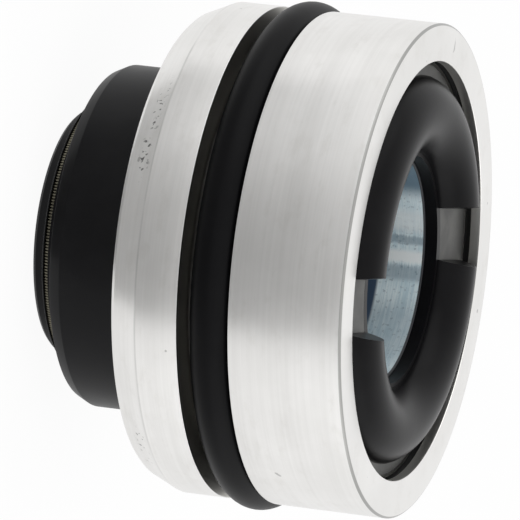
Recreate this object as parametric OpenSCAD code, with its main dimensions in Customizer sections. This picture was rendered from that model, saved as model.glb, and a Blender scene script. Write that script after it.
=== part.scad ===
// Seal head for a shock absorber: a turned aluminium head that closes the damper tube,
// guides the rod in a plain bush, seals it with an oil seal and a dust seal, and carries
// the rubber bumper that the piston meets at full extension.
// It stands on its dust seal with the oil side up. Z = 0 is the end of the dust lip.

/* [Rod and bush] */
// Diameter of the damper rod that runs through the head
rod_d = 18; // [16:0.5:19]
// Radial running clearance between rod and bush
bush_clear = 0.02; // [0.01:0.005:0.08]
// Wall of the plain bush
bush_wall = 1; // [0.8:0.1:1.2]
// Length of the plain bush
bush_l = 6; // [4.5:0.25:6.5]
// Lead chamfer at both ends of the bush bore
bush_lead = 0.12; // [0.05:0.01:0.25]
// Ledge in the head that the bush stops against
bush_ledge = 0.4; // [0.3:0.05:0.7]

/* [Head] */
// Diameter of the two lands that fit the damper tube
body_d = 40; // [39:0.25:44]
// Length from the nose end of the head to its mouth face
body_l = 19.4; // [18.5:0.1:22]
// Diameter at the small end of the lead-in taper
lead_d = 38.1; // [36:0.1:38.5]
// Length of the lead-in taper
lead_l = 2.4; // [1.5:0.1:3]
// Edge break at the nose end
nose_break = 0.3; // [0.1:0.05:0.5]
// Edge break around the mouth
mouth_break = 0.25; // [0.1:0.05:0.5]
// Bore of the cup that holds the bumper
cup_d = 33.9; // [33:0.1:35]
// Depth of the cup
cup_depth = 2.35; // [2:0.05:2.6]
// Height of the relief turned into the cup wall above the plate
relief_h = 0.45; // [0.2:0.05:0.6]
// Depth of that relief
relief_t = 0.35; // [0.1:0.05:0.6]

/* [Body ring] */
// Section of the O-ring
ring_section = 3.4; // [3:0.1:3.6]
// How far the O-ring stands proud of the lands
ring_proud = 0.65; // [0.3:0.05:0.9]
// Width of the O-ring groove
groove_w = 4.25; // [4:0.05:4.6]
// Distance from the mouth face to the groove
groove_from_mouth = 9.3; // [8.5:0.1:9.8]
// Corner radius at the bottom of the groove
groove_r = 0.4; // [0.2:0.05:0.6]

/* [Seal pocket] */
// Bore of the pocket that holds both seals
pocket_d = 26; // [25:0.25:27]
// Length of the ledge between the pocket and the bush
ledge_l = 1.05; // [0.8:0.05:1.5]
// Lead-in chamfer at the pocket mouth
pocket_lead = 0.4; // [0.2:0.05:0.6]

/* [Dust seal] */
// How far the dust seal stands out of the head
dust_out = 10; // [9:0.1:11]
// Diameter of the collar outside the head
collar_d = 28; // [27.5:0.25:30]
// Axial length of the collar's end chamfer
collar_chamfer_l = 1; // [0.5:0.1:1.5]
// Radial size of the collar's end chamfer
collar_chamfer_t = 0.5; // [0.2:0.05:0.8]
// How far the lip stands out of the collar
lip_out = 2.8; // [2.4:0.1:3.2]
// Rounding cut off the lip's outer corner
lip_break = 0.3; // [0.1:0.05:0.4]
// Radial relief of the plug's bore behind the lip
plug_relief = 0.5; // [0.3:0.05:0.8]

/* [Lips and garter springs] */
// Radial squeeze of each lip on the rod
lip_squeeze = 0.2; // [0.05:0.05:0.3]
// Thickness of each lip behind its sealing edge
lip_t = 1.2; // [1.1:0.05:1.3]
// Axial distance from a lip's end to its sealing edge
lip_edge = 0.9; // [0.6:0.1:1.2]
// Height of the slope that flares out of the sealing edge
lip_flare = 0.35; // [0.2:0.05:0.5]
// Section of the coil of a garter spring
garter_section = 1.1; // [0.9:0.05:1.2]
// How deep a garter spring sits in its lip
garter_seat = 0.15; // [0.1:0.01:0.2]
// Clearance between a garter spring and its seat
garter_clear = 0.03; // [0.02:0.01:0.06]
// Axial distance from a lip's end to its garter spring
garter_from_end = 1.6; // [1.5:0.05:1.8]

/* [Oil seal] */
// Length of the oil seal
oil_l = 4.8; // [4.6:0.1:5.2]
// Thickness of the oil seal's base
oil_base = 1.4; // [1.2:0.1:1.6]
// Wall of the oil seal's outer skirt
oil_skirt = 1.2; // [1:0.1:1.3]
// How far the oil lip stays back from the skirt's end
oil_lip_back = 0.3; // [0.2:0.05:0.4]

/* [Bumper] */
// Thickness of the steel plate under the bumper
plate_t = 1; // [0.8:0.05:1.2]
// Radial gap between the plate and the cup wall
plate_gap = 0.25; // [0.1:0.05:0.4]
// How far the plate laps over the end of the bush
plate_lap = 0.05; // [0.02:0.01:0.1]
// Wall of the rubber sleeve that lines the plate
sleeve_t = 0.75; // [0.6:0.05:0.8]
// Radial gap between the bumper and the cup wall
bumper_gap = 1.25; // [0.8:0.05:1.8]
// How far the cushion laps over the sleeve
cushion_lap = 0.35; // [0.2:0.05:0.5]
// How far the cushion's crown stands above the mouth face
bumper_proud = 1; // [0.6:0.05:1.4]
// Height of the cushion's crown above its side walls
bumper_crown = 1.5; // [1.2:0.05:1.7]
// Width of each oil slot at the plate
slot_w = 4.2; // [3.5:0.1:5]
// Sideways offset of each oil slot from the axis
slot_offset = 2.9; // [2.2:0.1:3.2]
// Extra half width of each slot at the crown
slot_draft = 0.45; // [0.2:0.05:0.7]

/* [Hidden] */
$fn = 128;
// How far a cut runs past the face that it opens
cut_over = 1;

body_r = body_d / 2;
rod_r = rod_d / 2;
cup_r = cup_d / 2;
pocket_r = pocket_d / 2;
collar_r = collar_d / 2;

body_z = dust_out;
mouth_z = body_z + body_l;
cup_z = mouth_z - cup_depth;
pocket_z = cup_z - bush_l - ledge_l;
groove_top = mouth_z - groove_from_mouth;
groove_mid = groove_top - ring_section / 2;
groove_floor_r = body_r + ring_proud - ring_section;

bush_bore_r = rod_r + bush_clear;
bush_r = bush_bore_r + bush_wall;
bush_z = cup_z - bush_l;
throat_r = bush_r - bush_ledge;

garter_r = garter_section / 2;
lip_edge_r = rod_r - lip_squeeze;
lip_r = lip_edge_r + lip_t;
plug_bore_r = lip_r + plug_relief;
// The spring's centre lies outside the lip by its radius less the depth of its seat
garter_ring_r = lip_r + garter_r - garter_seat;
oil_z = pocket_z - oil_l;
oil_lip_z = pocket_z - oil_lip_back;

plate_z = cup_z + plate_t;
plate_r = cup_r - plate_gap;
plate_bore_r = bush_r - plate_lap;
sleeve_r = plate_bore_r - sleeve_t;
bumper_r = cup_r - bumper_gap;
bumper_bore_r = plate_bore_r - cushion_lap;
crown_z = mouth_z + bumper_proud;
shoulder_z = crown_z - bumper_crown;
crown_mid = (bumper_r + bumper_bore_r) / 2;
crown_half = (bumper_r - bumper_bore_r) / 2;
// Radius of the arc through both shoulders and the crown
crown_arc = (crown_half * crown_half + bumper_crown * bumper_crown) / (2 * bumper_crown);

module ring_box(r0, r1, z0, z1) {
  translate([r0, z0]) square([r1 - r0, z1 - z0]);
}

// Outline of the head in half section, before its bores are cut
module body_outline() {
  lead_r = lead_d / 2;
  polygon([
    [0, body_z],
    [lead_r - nose_break, body_z],
    [lead_r, body_z + nose_break],
    [body_r, body_z + lead_l],
    [body_r, mouth_z - mouth_break],
    [body_r - mouth_break, mouth_z],
    [0, mouth_z]
  ]);
}

// Square groove with round bottom corners, open to the outside
module groove_outline() {
  groove_z = groove_top - groove_w;
  ring_box(groove_floor_r + groove_r, body_r + cut_over, groove_z, groove_top);
  ring_box(groove_floor_r, body_r, groove_z + groove_r, groove_top - groove_r);
  for (z = [groove_z + groove_r, groove_top - groove_r])
    translate([groove_floor_r + groove_r, z]) circle(groove_r);
}

// Everything bored out of the head: seal pocket, throat, bush seat, cup and its relief
module bore_outline() {
  polygon([
    [0, body_z - cut_over],
    [pocket_r + pocket_lead, body_z - cut_over],
    [pocket_r + pocket_lead, body_z],
    [pocket_r, body_z + pocket_lead],
    [pocket_r, pocket_z],
    [throat_r, pocket_z],
    [throat_r, bush_z],
    [bush_r, bush_z],
    [bush_r, cup_z],
    [cup_r, cup_z],
    [cup_r, plate_z],
    [cup_r + relief_t, plate_z],
    [cup_r + relief_t, plate_z + relief_h],
    [cup_r, plate_z + relief_h],
    [cup_r, mouth_z + cut_over],
    [0, mouth_z + cut_over]
  ]);
}

module seal_head_body() {
  color("gainsboro")
    rotate_extrude()
      difference() {
        body_outline();
        groove_outline();
        bore_outline();
      }
}

module body_o_ring() {
  color([0.08, 0.08, 0.09])
    rotate_extrude()
      translate([groove_floor_r + ring_section / 2, groove_mid])
        circle(d = ring_section);
}

module rod_bush() {
  color([0.55, 0.62, 0.66])
    rotate_extrude()
      polygon([
        [bush_bore_r + bush_lead, bush_z],
        [bush_r, bush_z],
        [bush_r, cup_z],
        [bush_bore_r + bush_lead, cup_z],
        [bush_bore_r, cup_z - bush_lead],
        [bush_bore_r, bush_z + bush_lead]
      ]);
}

module garter(z) {
  rotate_extrude()
    translate([garter_ring_r, z])
      circle(garter_r);
}

// Seat that a garter spring leaves in the back of a lip
module garter_seat_outline(z) {
  translate([garter_ring_r, z]) circle(garter_r + garter_clear);
}

// Collar, plug and lip of the dust seal, in half section
module dust_outline() {
  flare_r = lip_edge_r + lip_flare;
  polygon([
    [flare_r, 0],
    [lip_r - lip_break, 0],
    [lip_r, lip_break],
    [lip_r, lip_out],
    [collar_r - collar_chamfer_t, lip_out],
    [collar_r, lip_out + collar_chamfer_l],
    [collar_r, body_z],
    [pocket_r, body_z],
    [pocket_r, oil_z],
    [plug_bore_r, oil_z],
    [plug_bore_r, body_z],
    [flare_r, lip_out],
    [lip_edge_r, lip_edge]
  ]);
}

module dust_seal() {
  color([0.09, 0.09, 0.1])
    rotate_extrude()
      difference() {
        dust_outline();
        garter_seat_outline(garter_from_end);
      }
}

module dust_seal_spring() {
  color([0.5, 0.49, 0.44]) garter(garter_from_end);
}

// U-shaped section with its lip toward the oil
module oil_outline() {
  flare_r = lip_edge_r + lip_flare;
  polygon([
    [flare_r, oil_z],
    [pocket_r, oil_z],
    [pocket_r, pocket_z],
    [pocket_r - oil_skirt, pocket_z],
    [pocket_r - oil_skirt, oil_z + oil_base],
    [lip_r, oil_z + oil_base],
    [lip_r, oil_lip_z],
    [flare_r, oil_lip_z],
    [lip_edge_r, oil_lip_z - lip_edge],
    [flare_r, oil_z + oil_base]
  ]);
}

module oil_seal() {
  color([0.13, 0.1, 0.08])
    rotate_extrude()
      difference() {
        oil_outline();
        garter_seat_outline(oil_lip_z - garter_from_end);
      }
}

module oil_seal_spring() {
  color([0.6, 0.6, 0.58]) garter(oil_lip_z - garter_from_end);
}

module bumper_plate() {
  color([0.5, 0.5, 0.48])
    rotate_extrude()
      ring_box(plate_bore_r, plate_r, cup_z, plate_z);
}

// Cushion in half section: straight side walls under one arc
module cushion_outline() {
  ring_box(bumper_bore_r, bumper_r, plate_z, shoulder_z);
  intersection() {
    ring_box(bumper_bore_r, bumper_r, plate_z, crown_z);
    translate([crown_mid, crown_z - crown_arc]) circle(crown_arc);
  }
}

// Oil slot through one side of the cushion, wider at the crown than at the plate
module oil_slot() {
  translate([slot_offset, 0, 0])
    rotate([90, 0, 0])
      linear_extrude(bumper_r + cut_over)
        polygon([
          [-slot_w / 2, plate_z],
          [slot_w / 2, plate_z],
          [slot_w / 2 + slot_draft, crown_z],
          [-slot_w / 2 - slot_draft, crown_z]
        ]);
}

module rebound_bumper() {
  color([0.1, 0.1, 0.1]) {
    rotate_extrude() ring_box(sleeve_r, plate_bore_r, cup_z, plate_z);
    difference() {
      rotate_extrude() cushion_outline();
      for (turn = [0, 180]) rotate(turn) oil_slot();
    }
  }
}

seal_head_body();
body_o_ring();
rod_bush();
dust_seal();
dust_seal_spring();
oil_seal();
oil_seal_spring();
bumper_plate();
rebound_bumper();
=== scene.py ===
import math

import bmesh
import bpy
from mathutils import Matrix, Vector


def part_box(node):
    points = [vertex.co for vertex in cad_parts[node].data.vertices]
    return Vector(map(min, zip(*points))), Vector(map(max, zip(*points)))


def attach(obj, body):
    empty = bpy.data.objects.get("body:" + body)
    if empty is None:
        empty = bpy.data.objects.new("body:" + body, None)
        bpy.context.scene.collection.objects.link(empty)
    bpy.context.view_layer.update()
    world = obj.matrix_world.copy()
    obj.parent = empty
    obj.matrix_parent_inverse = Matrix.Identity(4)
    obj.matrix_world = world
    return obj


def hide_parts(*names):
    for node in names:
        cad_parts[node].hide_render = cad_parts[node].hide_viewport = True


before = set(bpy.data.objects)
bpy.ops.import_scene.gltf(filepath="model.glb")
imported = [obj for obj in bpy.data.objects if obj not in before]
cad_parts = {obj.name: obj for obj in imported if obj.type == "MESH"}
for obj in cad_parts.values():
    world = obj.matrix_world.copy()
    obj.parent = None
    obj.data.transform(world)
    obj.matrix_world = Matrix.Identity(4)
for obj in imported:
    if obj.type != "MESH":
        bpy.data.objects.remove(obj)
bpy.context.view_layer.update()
mm = 0.001
print("frame loaded")

# Heights and radii that the pieces share, read off the frame
bodyLow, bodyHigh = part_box("seal_head_body")
bodyR = bodyHigh[0]
noseZ, mouthZ = bodyLow[2], bodyHigh[2]
plateLow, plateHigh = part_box("bumper_plate")
plateR = plateHigh[0]
cupZ, plateZ = plateLow[2], plateHigh[2]
bushLow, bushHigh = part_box("rod_bush")
bushR = bushHigh[0]
ringLow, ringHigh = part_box("body_o_ring")
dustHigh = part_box("dust_seal")[1]
collarR = dustHigh[0]
pocketTop = dustHigh[2]
springLow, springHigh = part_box("dust_seal_spring")
springZ = (springLow[2] + springHigh[2]) / 2
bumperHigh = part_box("rebound_bumper")[1]
bumperR = bumperHigh[0]
crownZ = bumperHigh[2]


class Tone:
    # A socket that takes Python's operators and adds the Math nodes for them
    def __init__(self, tree, socket):
        self.tree = tree
        self.socket = socket

    def node(self, kind, settings=None, inputs=None, out=0):
        made = self.tree.nodes.new(kind)
        for key, value in (settings or {}).items():
            setattr(made, key, value)
        for key, value in (inputs or {}).items():
            if isinstance(value, Tone):
                self.tree.links.new(value.socket, made.inputs[key])
            else:
                made.inputs[key].default_value = value
        return Tone(self.tree, made.outputs[out])

    def math(self, operation, *values):
        return self.node("ShaderNodeMath", {"operation": operation}, dict(enumerate(values)))

    def __add__(self, other):
        return self.math("ADD", self, other)

    def __sub__(self, other):
        return self.math("SUBTRACT", self, other)

    def __rsub__(self, other):
        return self.math("SUBTRACT", other, self)

    def __mul__(self, other):
        return self.math("MULTIPLY", self, other)

    def __truediv__(self, other):
        return self.math("DIVIDE", self, other)

    def __rtruediv__(self, other):
        return self.math("DIVIDE", other, self)

    def __abs__(self):
        return self.math("ABSOLUTE", self)

    __radd__ = __add__
    __rmul__ = __mul__

    def larger(self, other):
        return self.math("MAXIMUM", self, other)

    # Another output of the same node
    def beside(self, out):
        return Tone(self.tree, self.socket.node.outputs[out])

    # Rises softly from 0 at low to the share at high
    def between(self, low, high, share=1.0):
        risen = self.node("ShaderNodeMapRange", {"interpolation_type": "SMOOTHSTEP"},
                          {"Value": self, "From Min": low, "From Max": high})
        return risen if share == 1.0 else risen * share

    # 1 from low to high, fading out over a length below and a length above
    def zone(self, low, high, fadeBelow, fadeAbove):
        return self.between(low - fadeBelow, low) * (1 - self.between(high, high + fadeAbove))


def newMaterial(name, **fixed):
    material = bpy.data.materials.new(name)
    material.use_nodes = True
    shader = material.node_tree.nodes["Principled BSDF"]
    for socket, value in fixed.items():
        shader.inputs[socket.replace("_", " ")].default_value = value
    place = Tone(material.node_tree, None).node("ShaderNodeTexCoord", out="Object")
    return material, shader, place


def feed(shader, socket, tone):
    tone.tree.links.new(tone.socket, shader.inputs[socket])


def split(place):
    x = place.node("ShaderNodeSeparateXYZ", {}, {0: place})
    return x, x.beside(1), x.beside(2)


def noise(place, scale, detail, roughness):
    stretched = place.node("ShaderNodeMapping", {}, {"Vector": place, "Scale": scale})
    return place.node("ShaderNodeTexNoise", {},
                      {"Vector": stretched, "Scale": 1.0, "Detail": detail, "Roughness": roughness})


def mixColour(factor, first, second):
    firstSocket, secondSocket, colourOut = 6, 7, 2  # the Mix node's sockets for colours
    inputs = {0: factor}
    for socket, value in ((firstSocket, first), (secondSocket, second)):
        inputs[socket] = value if isinstance(value, Tone) else (*value, 1)
    return factor.node("ShaderNodeMix", {"data_type": "RGBA"}, inputs, colourOut)


def bump(shader, height, strength, distance):
    sockets = {"Height": height, "Strength": strength, "Distance": distance}
    feed(shader, "Normal", height.node("ShaderNodeBump", {}, sockets))


def linkMesh(bm, name):
    mesh = bpy.data.meshes.new(name)
    bm.to_mesh(mesh)
    bm.free()
    made = bpy.data.objects.new(name, mesh)
    bpy.context.scene.collection.objects.link(made)
    return made


weldGap = 0.0001 * mm


def finishMesh(bm, name, material, sharpAngle):
    bmesh.ops.remove_doubles(bm, verts=bm.verts, dist=weldGap)
    bmesh.ops.recalc_face_normals(bm, faces=bm.faces)
    made = linkMesh(bm, name)
    made.data.shade_smooth()
    made.data.set_sharp_from_angle(angle=math.radians(sharpAngle))
    made.data.materials.append(material)
    return made


# The mesh of an object with its modifiers or bevel applied
def appliedMesh(made):
    bpy.context.view_layer.update()
    return bpy.data.meshes.new_from_object(made.evaluated_get(bpy.context.evaluated_depsgraph_get()))


def standFor(made, node):
    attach(made, "root")
    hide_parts(node)


cornerShare = 0.45  # of a side, at most, goes into the corner at one end of it


# Rounds the corners of a closed outline: each point is (radius, height, corner radius)
def rounded(outline, steps=4):
    points = []
    for i, (r, z, soft) in enumerate(outline):
        here = Vector((r, z))
        before = Vector(outline[i - 1][:2])
        after = Vector(outline[(i + 1) % len(outline)][:2])
        if soft <= 0:
            points.append(here)
            continue
        toBefore, toAfter = (before - here).normalized(), (after - here).normalized()
        half = toBefore.angle(toAfter) / 2
        longest = cornerShare * min((before - here).length, (after - here).length)
        reach = min(soft / math.tan(half), longest)
        soft = reach * math.tan(half)
        centre = here + (toBefore + toAfter).normalized() * (soft / math.sin(half))
        start, end = here + toBefore * reach - centre, here + toAfter * reach - centre
        for k in range(steps + 1):
            points.append(centre + start.lerp(end, k / steps).normalized() * soft)
    return points


def lathe(outline, turns=256):
    bm = bmesh.new()
    verts = [bm.verts.new((p[0], 0, p[1])) for p in outline]
    edges = [bm.edges.new((verts[i - 1], verts[i])) for i in range(len(verts))]
    bmesh.ops.spin(bm, geom=verts + edges, cent=(0, 0, 0), axis=(0, 0, 1), dvec=(0, 0, 0),
                   angle=math.tau, steps=turns, use_merge=True, use_normal_flip=False, use_duplicate=False)
    return bm


# Turned aluminium

head = {
    "leadR": 19.05 * mm, "leadLength": 2.4 * mm, "noseBreak": 0.3 * mm, "mouthBreak": 0.14 * mm,
    "cupR": 16.95 * mm, "reliefHeight": 0.45 * mm, "reliefDepth": 0.35 * mm,
    "grooveFromMouth": 9.3 * mm, "grooveWidth": 4.25 * mm, "grooveRound": 0.4 * mm,
    "pocketR": 13 * mm, "pocketDepth": 10 * mm, "pocketLead": 0.4 * mm, "bushLedge": 0.4 * mm,
    "edge": 0.07 * mm, "sharpAngle": 20,
    "pale": (0.85, 0.842, 0.828), "grey": (0.74, 0.732, 0.715), "smear": (0.60, 0.585, 0.55),
    # The cup, groove and edge tones are painted shade; the edge tone also colours the broken tool line
    "cupShadeTone": (0.82, 0.81, 0.78), "grooveShadeTone": (0.58, 0.57, 0.53), "edgeShadeAndToolTone": (0.36, 0.36, 0.35),
    # The undercut tone is painted shade with some dirt
    "nickTone": (0.20, 0.20, 0.195), "undercutShadeAndDirt": (0.05, 0.05, 0.05),
    "roughness": 0.24, "streakRoughness": 0.10, "cloudRoughness": 0.06,
    # Patterns: scale, detail, roughness
    "streaks": ((60, 60, 3800), 4, 0.6), "bands": ((25, 25, 700), 2, 0.5), "clouds": ((140, 140, 140), 4, 0.55),
    "smears": ((420, 420, 900), 4, 0.6), "specks": ((2700, 2700, 2300), 3, 0.55),
    "strays": ((800, 800, 800), 1, 0.4),
    # What is taken from each pattern: from, to, share
    "streakMix": (0.3, 0.7, 0.35), "bandMix": (0.35, 0.65, 0.25), "cloudMix": (0.35, 0.7, 0.4),
    "smearMix": (0.52, 0.75, 0.22), "speckMix": (0.585, 0.65), "strayMix": (0.80, 0.82, 0.5),
    "toolMix": (0.3, 0.65, 0.4),
    # Nicks on the taper: heights above the nose end, then angles, fades and share for each patch
    "nickLow": 1.3 * mm, "nickHigh": 1.7 * mm, "nickFade": 0.5 * mm,
    "nickSides": ((-0.64, -0.34, 0.14, 0.12, 1.0), (0.88, 1.02, 0.08, 0.10, 0.9)),
    "toolWidth": 0.06 * mm, "toolFade": 0.1 * mm,
    "streakBump": 0.6, "bandBump": 0.4, "nickBump": 6.0, "bump": (0.25, 0.02 * mm),
}
reliefTop = plateZ + head["reliefHeight"]
reliefR = head["cupR"] + head["reliefDepth"]
grooveTop = mouthZ - head["grooveFromMouth"]
grooveLow = grooveTop - head["grooveWidth"]
stepZ = noseZ + head["leadLength"]


# Nicks in patches on the lead-in taper, and a few strays all over
def nicks(place, x, y, z):
    s = head
    angle = y.math("ARCTAN2", x, y * -1.0)
    onSide = sum(angle.zone(*side) * share for *side, share in s["nickSides"])
    onTaper = z.zone(noseZ + s["nickLow"], noseZ + s["nickHigh"], s["nickFade"], s["nickFade"])
    patches = noise(place, *s["specks"]).between(*s["speckMix"]) * onTaper * onSide
    return patches.larger(noise(place, *s["strays"]).between(*s["strayMix"]))


# Painted shade on the turned metal: flat tones for the cup's wall, the ring groove and the broken edge of the mouth
# stand in for their shade and darker reflections
def paintedShadeTint(tint, radius, z):
    s = head
    inCup = (1 - radius.between(s["cupR"] + 0.02 * mm, s["cupR"] + 0.05 * mm)) * z.between(cupZ, cupZ + 0.1 * mm)
    inGroove = z.zone(grooveLow, grooveTop, 0.02 * mm, 0.02 * mm)
    inGroove = inGroove * radius.zone(bodyR - 4 * mm, bodyR - 0.12 * mm, 1 * mm, 0.08 * mm)
    brokenEdge = z.between(mouthZ - 0.22 * mm, mouthZ - 0.16 * mm)
    brokenEdge = brokenEdge * radius.between(bodyR - 0.20 * mm, bodyR - 0.14 * mm)
    for mask, tone in ((inCup, "cupShadeTone"), (inGroove, "grooveShadeTone"), (brokenEdge, "edgeShadeAndToolTone")):
        tint = mixColour(mask, tint, s[tone])
    return tint


def aluminium():
    s = head
    material, shader, place = newMaterial("turnedAluminium", Metallic=1.0)
    x, y, z = split(place)
    radius = x.math("SQRT", x * x + y * y)
    streaks, bands, clouds = (noise(place, *s[pattern]) for pattern in ("streaks", "bands", "clouds"))
    smears = noise(place, *s["smears"]).between(*s["smearMix"])
    mix = streaks.between(*s["streakMix"]) + bands.between(*s["bandMix"]) + clouds.between(*s["cloudMix"])
    tint = mixColour(smears, mixColour(mix, s["grey"], s["pale"]), s["smear"])
    tint = paintedShadeTint(tint, radius, z)
    # Broken tool line where the taper meets the land
    toolLine = z.zone(stepZ - s["toolWidth"], stepZ, s["toolFade"], s["toolFade"]) * clouds.between(*s["toolMix"])
    nick = nicks(place, x, y, z)
    tint = mixColour(nick, mixColour(toolLine, tint, s["edgeShadeAndToolTone"]), s["nickTone"])
    # Painted shade, with some dirt, in the undercut above the plate: near black
    undercut = z.zone(plateZ, reliefTop, 0.02 * mm, 0.03 * mm)
    undercut = undercut * (1 - radius.between(reliefR + 0.1 * mm, reliefR + 0.2 * mm))
    feed(shader, "Base Color", mixColour(undercut, tint, s["undercutShadeAndDirt"]))
    feed(shader, "Roughness", s["roughness"] + streaks * s["streakRoughness"] + clouds * s["cloudRoughness"])
    bump(shader, streaks * s["streakBump"] + bands * s["bandBump"] - nick * s["nickBump"], *s["bump"])
    return material


def turnedHead():
    s = head
    e = s["edge"]
    floorR = ringHigh[0] - (ringHigh[2] - ringLow[2])
    ledgeR, ledgeZ = bushR - s["bushLedge"], bushLow[2]
    pocketZ = noseZ + s["pocketDepth"]
    outline = [
        (s["leadR"] - s["noseBreak"], noseZ, e), (s["leadR"], noseZ + s["noseBreak"], e), (bodyR, stepZ, 2 * e),
        (bodyR, grooveLow, 0.5 * e), (floorR, grooveLow, s["grooveRound"]),
        (floorR, grooveTop, s["grooveRound"]), (bodyR, grooveTop, 0.5 * e),
        (bodyR, mouthZ - s["mouthBreak"], e), (bodyR - s["mouthBreak"], mouthZ, e),
        (s["cupR"], mouthZ, 1.5 * e), (s["cupR"], reliefTop, e), (reliefR, reliefTop, 0), (reliefR, plateZ, 0),
        (s["cupR"], plateZ, 0), (s["cupR"], cupZ, 0), (bushR, cupZ, 0), (bushR, ledgeZ, 0),
        (ledgeR, ledgeZ, e), (ledgeR, pocketZ, e),
        (s["pocketR"], pocketZ, 0), (s["pocketR"], noseZ + s["pocketLead"], 0),
        (s["pocketR"] + s["pocketLead"], noseZ, e),
    ]
    made = finishMesh(lathe(rounded(outline)), "turnedHead", aluminium(), s["sharpAngle"])
    standFor(made, "seal_head_body")


turnedHead()
print("head turned")


# Black rubbers: each piece has its own colour, shine, grain and bloom

rubberLook = {
    "bloom": 0.007, "clouds": ((220, 220, 220), 3, 0.6), "cloudMix": (0.4, 0.75), "fineShare": 0.15,
    "grainDetail": 3, "grainRoughness": 0.55, "roughnessSpread": 0.12, "bump": (0.12, 0.02 * mm),
}


def rubber(name, piece):
    s = rubberLook
    material, shader, place = newMaterial(name, Specular_IOR_Level=piece["specular"])
    fine = noise(place, (piece["grain"],) * 3, s["grainDetail"], s["grainRoughness"])
    cloud = noise(place, *s["clouds"])
    bloomed = tuple(c + s["bloom"] for c in piece["colour"])
    share = cloud.between(*s["cloudMix"]) * piece["bloomShare"] + fine * s["fineShare"]
    feed(shader, "Base Color", mixColour(share, piece["colour"], bloomed))
    feed(shader, "Roughness", piece["roughness"] + cloud * s["roughnessSpread"])
    bump(shader, fine, *s["bump"])
    return material


oRing = {
    "section": 3.4 * mm, "steps": 40, "sharpAngle": 60,
    "colour": (0.003, 0.003, 0.0035), "roughness": 0.34, "grain": 4000, "bloomShare": 0.12, "specular": 0.07,
}


def bodyRing():
    s = oRing
    sectionR = s["section"] / 2
    midR = ringHigh[0] - sectionR
    midZ = (ringLow[2] + ringHigh[2]) / 2
    points = []
    for k in range(s["steps"]):
        turn = math.tau * k / s["steps"]
        points.append(Vector((midR + sectionR * math.cos(turn), midZ + sectionR * math.sin(turn))))
    made = finishMesh(lathe(points), "bodyRing", rubber("ringRubber", s), s["sharpAngle"])
    standFor(made, "body_o_ring")


bodyRing()

spring = {
    "section": 1.1 * mm, "wire": 0.2 * mm, "pitch": 0.235 * mm, "pointsPerTurn": 12, "sharpAngle": 80,
    "dark": (0.10, 0.09, 0.065), "pale": (0.22, 0.21, 0.165), "roughness": 0.38,
    "patches": ((900, 900, 900), 3, 0.5),
}
springR = springHigh[0] - spring["section"] / 2
dust = {
    "lipR": 10 * mm, "lipBreak": 0.3 * mm, "lipOut": 2.8 * mm, "lipFoot": 0.2 * mm,
    "edgeR": 8.8 * mm, "edgeUp": 0.9 * mm, "edgeSoft": 0.04 * mm, "flare": 0.35 * mm,
    "chamferLength": 1.0 * mm, "chamferDepth": 0.5 * mm, "plugBoreR": 10.5 * mm, "soft": 0.12 * mm,
    # The lip closes over the spring and leaves a slit; heights are from the spring's middle
    "slitLow": 0.26 * mm, "slitHigh": 0.10 * mm, "slitSoft": 0.02 * mm, "seatGap": 0.01 * mm, "seatSteps": 24,
    "ridgeUp": 0.05 * mm, "ridgeFlat": 0.35 * mm, "ridgeFoot": 0.75 * mm, "sharpAngle": 30,
    "colour": (0.0038, 0.0038, 0.0046), "roughness": 0.34, "grain": 3000, "bloomShare": 0.3, "specular": 0.14,
}


# The seat runs round the coil, from one side of the slit to the other
def springSeat():
    s = dust
    seatR = spring["section"] / 2 + s["seatGap"]
    first = math.asin(s["slitLow"] / seatR)
    last = math.tau - math.asin(s["slitHigh"] / seatR)
    seat = []
    for k in range(s["seatSteps"] + 1):
        turn = first + (last - first) * k / s["seatSteps"]
        seat.append((springR + seatR * math.cos(turn), springZ - seatR * math.sin(turn), 0))
    return seat


def dustSeal():
    s = dust
    soft = s["soft"]
    ridgeR = springHigh[0] + s["ridgeUp"]
    flareR = s["edgeR"] + s["flare"]
    outline = [
        (flareR, 0, soft), (s["lipR"] - s["lipBreak"], 0, soft), (s["lipR"], s["lipBreak"], soft),
        (s["lipR"], springZ - s["ridgeFoot"], soft), (ridgeR, springZ - s["ridgeFlat"], soft),
        (ridgeR, springZ - s["slitLow"], s["slitSoft"]), *springSeat(),
        (ridgeR, springZ + s["slitHigh"], s["slitSoft"]), (ridgeR, springZ + s["ridgeFlat"], soft),
        (s["lipR"], springZ + s["ridgeFoot"], soft), (s["lipR"], s["lipOut"], s["lipFoot"]),
        (collarR - s["chamferDepth"], s["lipOut"], soft), (collarR, s["lipOut"] + s["chamferLength"], 2 * soft),
        (collarR, noseZ, soft / 2), (head["pocketR"], noseZ, 0), (head["pocketR"], pocketTop, 0),
        (s["plugBoreR"], pocketTop, 0), (s["plugBoreR"], noseZ, soft), (flareR, s["lipOut"], soft),
        (s["edgeR"], s["edgeUp"], s["edgeSoft"]),
    ]
    made = finishMesh(lathe(rounded(outline)), "dustSealRubber", rubber("sealRubber", s), s["sharpAngle"])
    standFor(made, "dust_seal")


def springSteel():
    s = spring
    material, shader, place = newMaterial("springSteel", Metallic=1.0, Roughness=s["roughness"])
    feed(shader, "Base Color", mixColour(noise(place, *s["patches"]), s["dark"], s["pale"]))
    return material


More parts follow.
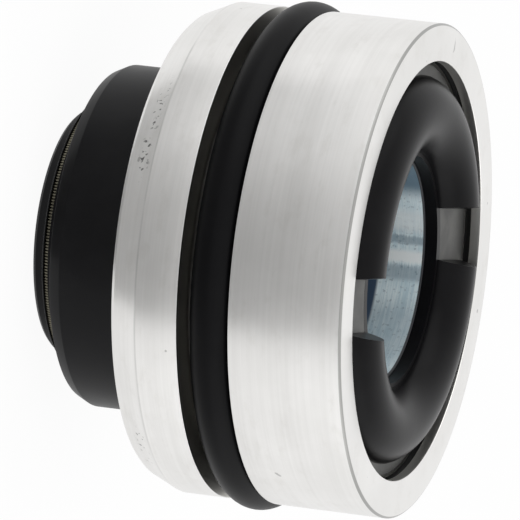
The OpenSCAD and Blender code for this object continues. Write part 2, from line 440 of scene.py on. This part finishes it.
# A closed coil of fine wire, bent into a ring around the lip
def garterCoil():
    s = spring
    coilR = (s["section"] - s["wire"]) / 2
    turns = int(math.tau * springR / s["pitch"])
    count = turns * s["pointsPerTurn"]
    curve = bpy.data.curves.new("garterCoil", "CURVE")
    curve.dimensions = "3D"
    curve.bevel_depth = s["wire"] / 2
    curve.bevel_resolution = 1
    wire = curve.splines.new("POLY")
    wire.points.add(count - 1)
    wire.use_cyclic_u = True
    for k, point in enumerate(wire.points):
        around = math.tau * k / count
        coil = math.tau * (k % s["pointsPerTurn"]) / s["pointsPerTurn"]
        r = springR + coilR * math.cos(coil)
        point.co = (r * math.cos(around), r * math.sin(around), springZ + coilR * math.sin(coil), 1)
    holder = bpy.data.objects.new("garterHolder", curve)
    bpy.context.scene.collection.objects.link(holder)
    bm = bmesh.new()
    bm.from_mesh(appliedMesh(holder))
    bpy.data.objects.remove(holder)
    made = finishMesh(bm, "garterCoil", springSteel(), s["sharpAngle"])
    standFor(made, "dust_seal_spring")


dustSeal()
garterCoil()
print("seals and spring made")


# Bush, plate and bumper in the mouth

bush = {
    "boreR": 9.02 * mm, "lead": 0.08 * mm, "leadSoft": 0.03 * mm, "boreSoft": 0.04 * mm, "sharpAngle": 30,
    "pale": (0.88, 0.98, 1.0), "worn": (0.55, 0.71, 0.78), "wiped": (0.96, 1.0, 1.0),
    # The deep and rim colours are painted shade
    "band": (0.12, 0.19, 0.25), "deep": (0.05, 0.08, 0.13), "rimShade": (0.012, 0.014, 0.018),
    "metallic": 0.12, "roughness": 0.26, "scratchRoughness": 0.18, "bump": (0.2, 0.01 * mm),
    "brightLength": 3.7 * mm, "brightFade": 0.15 * mm, "rimLow": 0.17 * mm, "rimHigh": 0.12 * mm,
    # Patterns: scale, detail, roughness
    "scratches": ((320, 320, 7000), 3, 0.6), "stains": ((420, 420, 300), 3, 0.6),
    "pits": ((3600, 3600, 3600), 2, 0.5), "rolled": ((620, 90, 40), 3, 0.55),
    # What is taken from each pattern: from, to, share
    "stainMix": (0.35, 0.7, 0.35), "scratchMix": (0.38, 0.62, 0.55), "pitMix": (0.58, 0.70, 0.4),
    "rolledMix": (0.46, 0.62, 0.15),
    # Stripes along the bore: middle, half width, share
    "bands": ((-7.6 * mm, 2.4 * mm, 0.95), (-2.15 * mm, 0.5 * mm, 0.55),
              (0.55 * mm, 0.9 * mm, 0.5), (5.4 * mm, 3.4 * mm, 0.36)),
    "wipes": ((-0.75 * mm, 0.75 * mm, 1.0), (-3.7 * mm, 1.3 * mm, 0.6)),
    "bandCore": 0.35, "wipeCore": 0.3, "ragged": 0.5 * mm,
}


# A stripe that is full in its core and fades to its half width
def stripe(across, middle, half, share, core):
    return (1 - abs(across - middle).between(core * half, half)) * share


def bushMetal():
    s = bush
    material, shader, place = newMaterial("bushMetal", Metallic=s["metallic"])
    x, y, z = split(place)
    scratches = noise(place, *s["scratches"])
    wear = noise(place, *s["stains"]).between(*s["stainMix"]) + scratches.between(*s["scratchMix"])
    tint = mixColour(wear, s["pale"], s["worn"])
    tint = mixColour(noise(place, *s["pits"]).between(*s["pitMix"]), tint, s["band"])
    # Dark bands and pale wipes along the bore, with ragged sides
    across = x + (scratches - 0.5) * s["ragged"]
    rolled = noise(place, *s["rolled"]).between(*s["rolledMix"])
    for band in s["bands"]:
        rolled = rolled.larger(stripe(across, *band, s["bandCore"]))
    tint = mixColour(rolled, tint, s["band"])
    for wipe in s["wipes"]:
        tint = mixColour(stripe(across, *wipe, s["wipeCore"]), tint, s["wiped"])
    # Painted shade: dark below the bright length, and at the rim, where it hides the lead's highlight
    brightZ = cupZ - s["brightLength"]
    bright = z.between(brightZ - s["brightFade"], brightZ + s["brightFade"])
    rimShade = z.between(cupZ - s["rimLow"], cupZ - s["rimHigh"])
    feed(shader, "Base Color", mixColour(rimShade, mixColour(bright, s["deep"], tint), s["rimShade"]))
    feed(shader, "Roughness", s["roughness"] + scratches * s["scratchRoughness"])
    bump(shader, scratches, *s["bump"])
    return material


def rodBush():
    s = bush
    low, high = bushLow[2], bushHigh[2]
    lead = s["lead"]
    outline = [
        (s["boreR"] + lead, low, 0), (bushR, low, 0), (bushR, high, 0), (s["boreR"] + lead, high, s["leadSoft"]),
        (s["boreR"], high - lead, s["boreSoft"]), (s["boreR"], low + lead, 0),
    ]
    made = finishMesh(lathe(rounded(outline)), "rodBush", bushMetal(), s["sharpAngle"])
    standFor(made, "rod_bush")


plate = {
    "boreR": 9.97 * mm, "edge": 0.06 * mm, "sharpAngle": 30,
    "colour": (0.105, 0.105, 0.10), "dark": (0.05, 0.05, 0.048), "metallic": 0.5,
    "roughness": 0.42, "patchRoughness": 0.15, "patches": ((350, 350, 350), 4, 0.6), "patchMix": (0.35, 0.7),
}


def plateSteel():
    s = plate
    material, shader, place = newMaterial("plateSteel", Metallic=s["metallic"])
    patchy = noise(place, *s["patches"])
    feed(shader, "Base Color", mixColour(patchy.between(*s["patchMix"]), s["dark"], s["colour"]))
    feed(shader, "Roughness", s["roughness"] + patchy * s["patchRoughness"])
    return material


def bumperPlate():
    s = plate
    outline = [(s["boreR"], cupZ, 0), (plateR, cupZ, 0), (plateR, plateZ, s["edge"]), (s["boreR"], plateZ, s["edge"])]
    made = finishMesh(lathe(rounded(outline)), "bumperPlate", plateSteel(), s["sharpAngle"])
    standFor(made, "bumper_plate")


cushion = {
    "boreR": 9.62 * mm, "crown": 2.15 * mm, "sleeveR": 9.22 * mm, "arcSteps": 28, "turns": 192,
    "slotWidth": 4.2 * mm, "slotOffset": 2.9 * mm, "slotDraft": 0.45 * mm,
    # How far the cutter runs past the crown, under the cushion, and past its outside, and where it starts
    "cutOver": 0.5 * mm, "cutUnder": 0.002 * mm, "cutPast": 1 * mm, "cutFrom": 2 * mm,
    "edge": 0.3 * mm, "edgeSegments": 3, "edgeAngle": 40, "latheAngle": 30, "sharpAngle": 60,
    "colour": (0.0042, 0.004, 0.0046), "roughness": 0.25, "grain": 2600, "bloomShare": 0.3, "specular": 0.08,
}


# Two drafted blocks, one each side of the axis
def slotCutter():
    s = cushion
    bm = bmesh.new()
    top, low = crownZ + s["cutOver"], plateZ - s["cutUnder"]
    for side in (1, -1):
        for vert in bmesh.ops.create_cube(bm, size=1)["verts"]:
            half = s["slotWidth"] / 2 + (s["slotDraft"] if vert.co.z > 0 else 0)
            x = s["slotOffset"] * side + (half if vert.co.x > 0 else -half)
            y = -side * (bumperR + s["cutPast"] if vert.co.y > 0 else s["cutFrom"])
            vert.co = (x, y, top if vert.co.z > 0 else low)
    bmesh.ops.recalc_face_normals(bm, faces=bm.faces)
    return linkMesh(bm, "slotCutter")


# Cushion and sleeve are one outline, so that the slots leave the sleeve whole
def cushionOutline():
    s = cushion
    half = (bumperR - s["boreR"]) / 2
    midR = (bumperR + s["boreR"]) / 2
    arcR = (half * half + s["crown"] * s["crown"]) / (2 * s["crown"])
    reach = math.asin(half / arcR)
    points = [(s["sleeveR"], cupZ), (plate["boreR"], cupZ), (plate["boreR"], plateZ), (bumperR, plateZ)]
    for k in range(s["arcSteps"] + 1):
        turn = reach - 2 * reach * k / s["arcSteps"]
        points.append((midR + arcR * math.sin(turn), crownZ - arcR + arcR * math.cos(turn)))
    return points + [(s["boreR"], plateZ), (s["sleeveR"], plateZ)]


def reboundBumper():
    s = cushion
    made = finishMesh(lathe(cushionOutline(), s["turns"]), "reboundBumper", rubber("bumperRubber", s), s["latheAngle"])
    cutter = slotCutter()
    cut = made.modifiers.new("slot", "BOOLEAN")
    cut.operation = "DIFFERENCE"
    cut.solver = "EXACT"
    cut.object = cutter
    cutMesh = appliedMesh(made)
    made.modifiers.clear()
    made.data = cutMesh
    bpy.data.objects.remove(cutter)
    soften = made.modifiers.new("soften", "BEVEL")
    soften.width = s["edge"]
    soften.segments = s["edgeSegments"]
    soften.limit_method = "ANGLE"
    soften.angle_limit = math.radians(s["edgeAngle"])
    cutMesh.shade_smooth()
    cutMesh.set_sharp_from_angle(angle=math.radians(s["sharpAngle"]))
    standFor(made, "rebound_bumper")


oilSeal = {"colour": (0.014, 0.012, 0.010), "roughness": 0.4, "grain": 3000, "bloomShare": 0.0, "specular": 0.1}


# The oil seal and its spring lie hidden inside, so they keep their solids
def oilSealFinish():
    finishes = {"oil_seal": rubber("oilSealRubber", oilSeal), "oil_seal_spring": bpy.data.materials["springSteel"]}
    for node, material in finishes.items():
        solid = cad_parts[node]
        solid.data.materials.clear()
        solid.data.materials.append(material)


rodBush()
bumperPlate()
reboundBumper()
oilSealFinish()
print("mouth made")


# Camera from the fit to the picture: the axis runs into the depth to the left

view = {
    "turn": 72.10, "tip": 6.457, "distance": 552.07 * mm, "focalPixels": 6878.0, "imagePixels": 520,
    "mouthPixel": (418.74, 271.4), "sensor": 36, "clip": (0.01, 50),
}


def camera():
    s = view
    turn, tip = math.radians(s["turn"]), math.radians(s["tip"])
    toNose = Vector((-math.sin(turn) * math.cos(tip), -math.sin(tip), math.cos(turn) * math.cos(tip)))
    toViewer = toNose.cross(Vector((0, 1, 0))).normalized()
    toTop = toNose.cross(toViewer)
    # Rows are the part's axes in the picture's axes: right, down, away
    axes = Matrix((-toTop, -toViewer, -toNose))
    across, down = ((pixel - s["imagePixels"] / 2) / s["focalPixels"] for pixel in s["mouthPixel"])
    place = Vector((0, 0, mouthZ)) - axes @ (Vector((across, down, 1)) * s["distance"])
    turned = Matrix((axes @ Vector((1, 0, 0)), axes @ Vector((0, -1, 0)), axes @ Vector((0, 0, -1)))).transposed()
    lens = bpy.data.cameras.new("camera")
    lens.sensor_width = s["sensor"]
    lens.lens = s["sensor"] * s["focalPixels"] / s["imagePixels"]
    lens.clip_start, lens.clip_end = s["clip"]
    made = bpy.data.objects.new("camera", lens)
    made.matrix_world = Matrix.Translation(place) @ turned.to_4x4()
    bpy.context.scene.collection.objects.link(made)
    bpy.context.scene.camera = made


camera()


# Pale floor with a grey card, soft boxes at the two sides and above, white surround

studio = {
    "floorHalf": 3.0, "floorColour": (0.86, 0.86, 0.86), "whiteShare": 0.94, "matt": 0.9,
    # Lamps: name, place, size, power, seen in reflections
    "boxes": (("leftBox", (-0.42, -0.10, 0.16), (0.5, 0.5), 0.75, True),
              ("rightBox", (0.42, -0.10, 0.16), (0.5, 0.5), 0.65, True),
              ("topBox", (0.0, 0.12, 0.5), (0.5, 0.5), 0.08, True),
              ("mouthBox", (0.05, -0.30, 0.42), (0.25, 0.25), 0.75, False)),  # would glare on the mouth's face
    "boxAim": (0, 0, 15 * mm),
    "cardLow": (-0.13, -0.30), "cardHigh": (0.0011, -0.012), "cardFan": 0.683, "cardHeight": 0.0005,
    "cardGrey": (0.335, 0.335, 0.335), "cardPale": (0.58, 0.58, 0.58),
    "cardGrade": (-1.2, 0.05), "cardNear": (-0.042, -0.02, 0.6),
    "roomBack": 0.9, "roomFront": 0.42, "roomGrade": (-0.7, 0.3),
}


# Rays that see the white: the camera's own, and those off metal and through glass
def seenRays(tone):
    direct = tone.node("ShaderNodeLightPath", out="Is Camera Ray")
    return direct.larger(direct.beside("Is Glossy Ray").larger(direct.beside("Is Transmission Ray")))


def floor():
    s = studio
    bm = bmesh.new()
    bmesh.ops.create_grid(bm, x_segments=1, y_segments=1, size=s["floorHalf"])
    made = linkMesh(bm, "floor")
    material, shader, place = newMaterial("paleFloor", Base_Color=(*s["floorColour"], 1), Roughness=s["matt"],
                                          Specular_IOR_Level=0.0)
    tree = material.node_tree
    white = place.node("ShaderNodeEmission", {}, {"Color": (1, 1, 1, 1), "Strength": 1.0})
    share = seenRays(place) * s["whiteShare"]
    blend = place.node("ShaderNodeMixShader", {}, {0: share, 1: Tone(tree, shader.outputs[0]), 2: white})
    tree.links.new(blend.socket, tree.nodes["Material Output"].inputs[0])
    made.data.materials.append(material)


# A grey card on the floor in front, below the picture, gives the turned sides their grey middle
def greyCard():
    s = studio
    (left, near), (right, far) = s["cardLow"], s["cardHigh"]
    bm = bmesh.new()
    bmesh.ops.create_grid(bm, x_segments=1, y_segments=1, size=0.5)
    bmesh.ops.scale(bm, vec=(right - left, far - near, 1), verts=bm.verts)
    bmesh.ops.translate(bm, vec=((left + right) / 2, (near + far) / 2, s["cardHeight"]), verts=bm.verts)
    # The right edge fans out, so that the turned sides all turn pale at the same place
    for vert in bm.verts:
        if vert.co.x > 0:
            vert.co.x += s["cardFan"] * (far - vert.co.y)
    made = linkMesh(bm, "greyCard")
    material, shader, place = newMaterial("greyCard", Roughness=s["matt"], Specular_IOR_Level=0.0)
    x, y, z = split(place)
    graded = mixColour((x / (0 - y)).between(*s["cardGrade"]), s["cardPale"], s["cardGrey"])
    # Paler close to the part, where the part shades it
    feed(shader, "Base Color", mixColour(y.between(*s["cardNear"]), graded, s["cardPale"]))
    made.data.materials.append(material)
    # Only reflections see it
    made.visible_camera = False
    made.visible_diffuse = False
    made.visible_shadow = False


def lamps():
    for name, place, size, power, mirrored in studio["boxes"]:
        light = bpy.data.lights.new(name, "AREA")
        light.shape = "RECTANGLE"
        light.size, light.size_y = size
        light.energy = power
        made = bpy.data.objects.new(name, light)
        aim = Vector(studio["boxAim"]) - Vector(place)
        made.matrix_world = Matrix.Translation(place) @ aim.to_track_quat("-Z", "Y").to_matrix().to_4x4()
        made.visible_glossy = mirrored
        bpy.context.scene.collection.objects.link(made)


def surround():
    s = studio
    world = bpy.data.worlds.new("surround")
    bpy.context.scene.world = world
    world.use_nodes = True
    tree = world.node_tree
    x, y, z = split(Tone(tree, None).node("ShaderNodeTexCoord", out="Generated"))
    room = s["roomFront"] + (s["roomBack"] - s["roomFront"]) * y.between(*s["roomGrade"])
    background = tree.nodes["Background"]
    background.inputs["Color"].default_value = (1, 1, 1, 1)
    feed(background, "Strength", room.larger(seenRays(y)))


floor()
greyCard()
lamps()
surround()
bpy.context.scene.view_settings.view_transform = "Standard"
print("studio set")
